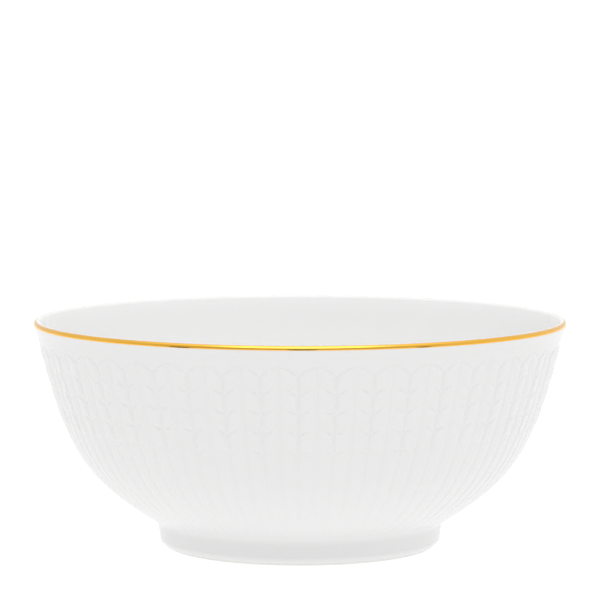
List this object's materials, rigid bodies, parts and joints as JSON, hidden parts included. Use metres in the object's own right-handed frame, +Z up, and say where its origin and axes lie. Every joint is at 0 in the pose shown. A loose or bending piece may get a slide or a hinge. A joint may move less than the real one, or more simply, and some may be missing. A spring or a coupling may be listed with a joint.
{
  "type": "serving bowl",
  "caption": "Round porcelain serving bowl with a footed base, a moulded leaf and flute relief outside, a plain inside and a gilded lip.",
  "frame": {"origin": "middle of the circle that the foot stands on, on the surface it rests on", "axes": "+Z up along the bowl's axis, from the foot towards the lip; X and Y are level, and the bowl is round about Z"},
  "size_m": [0.23, 0.23, 0.0984],
  "materials": {
    "glazed_porcelain": "gloss",
    "bare_porcelain": "matte",
    "fired_gold": "polished"
  },
  "bodies": {
    "root": {"bowl_body": "glazed_porcelain", "foot_ring": "glazed_porcelain", "foot_bearing_edge": "bare_porcelain", "gold_rim_band": "fired_gold"}
  },
  "joints": []
}
